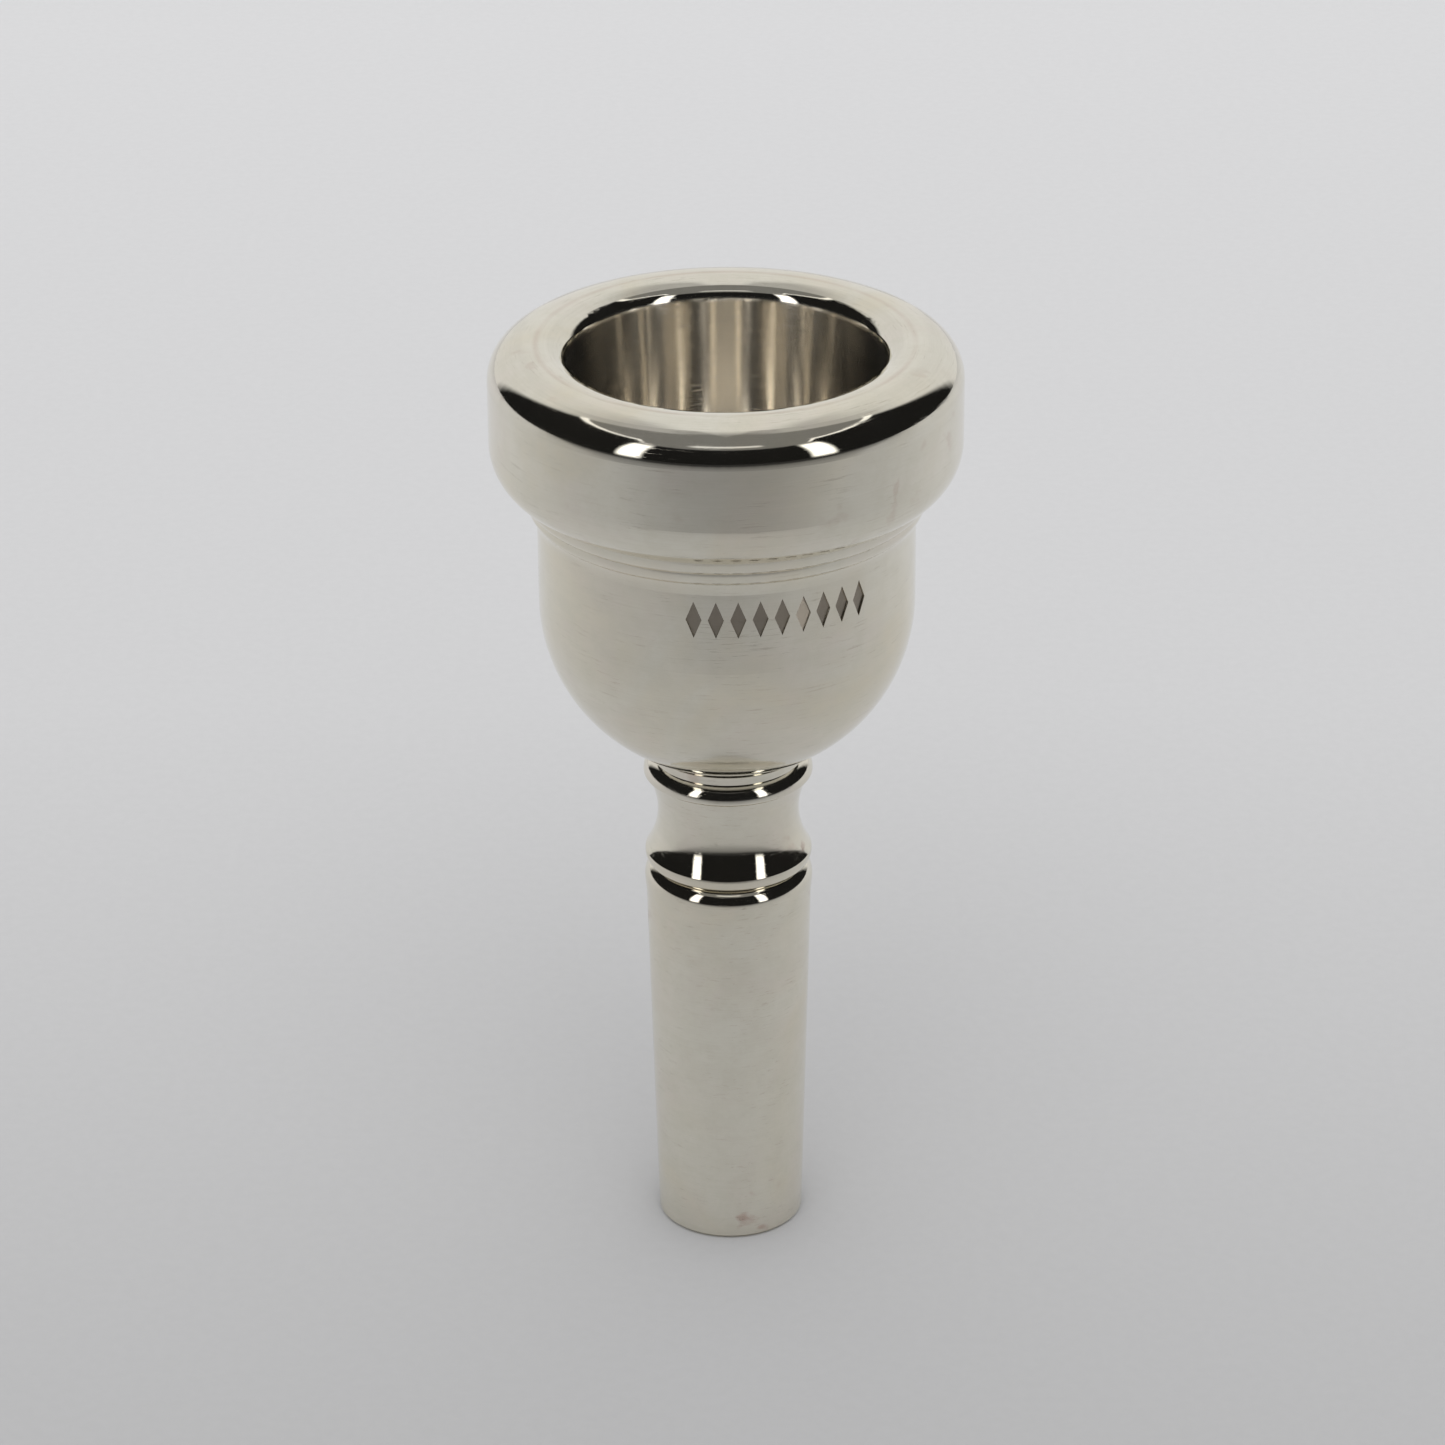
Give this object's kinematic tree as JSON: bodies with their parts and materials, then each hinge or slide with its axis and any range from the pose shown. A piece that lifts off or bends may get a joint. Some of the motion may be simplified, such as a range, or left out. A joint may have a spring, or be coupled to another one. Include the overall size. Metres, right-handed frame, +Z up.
{
  "type": "trombone mouthpiece",
  "caption": "Turned, silver-plated brass cup mouthpiece with a wide rounded rim, round-bottomed cup, collared waist and tapered shank; rim and shank unscrew.",
  "frame": {"origin": "centre of the shank's tip face, which the mouthpiece stands on", "axes": "+Z up along the bore axis, from the shank's tip to the rim; -Y towards the front, where the row of lozenges is"},
  "size_m": [0.039, 0.039, 0.0818],
  "materials": {
    "silver_plate": "silver-plated brass, mirror-polished on the rim, fine lathe lines elsewhere, faint warm tarnish",
    "seal_rubber": "matt black nitrile rubber"
  },
  "bodies": {
    "shank": {"shank": "silver_plate"},
    "shank_seal": {"shank_seal": "seal_rubber"},
    "cup": {"cup": "silver_plate"},
    "rim_seal": {"rim_seal": "seal_rubber"},
    "rim": {"rim": "silver_plate"}
  },
  "joints": [
    {"name": "cup_turn", "type": "hinge", "parent": "shank", "child": "shank_seal", "pos_m": [0, 0, 0.0444], "axis": [0, 0, 1], "range_deg": [0, 1800]},
    {"name": "cup_rise", "type": "slide", "parent": "shank_seal", "child": "cup", "axis": [0, 0, 1], "range_m": [0, 0.00501]},
    {"name": "rim_rise", "type": "slide", "parent": "cup", "child": "rim_seal", "axis": [0, 0, 1], "range_m": [0, 0.00501]},
    {"name": "rim_turn", "type": "hinge", "parent": "rim_seal", "child": "rim", "pos_m": [0, 0, 0.0684], "axis": [0, 0, 1], "range_deg": [0, 1800]}
  ],
  "couplings": [
    {"joint": "cup_rise", "follows": "cup_turn", "m_per_rad": 0.00015915},
    {"joint": "rim_rise", "follows": "rim_turn", "m_per_rad": 0.00015915}
  ]
}
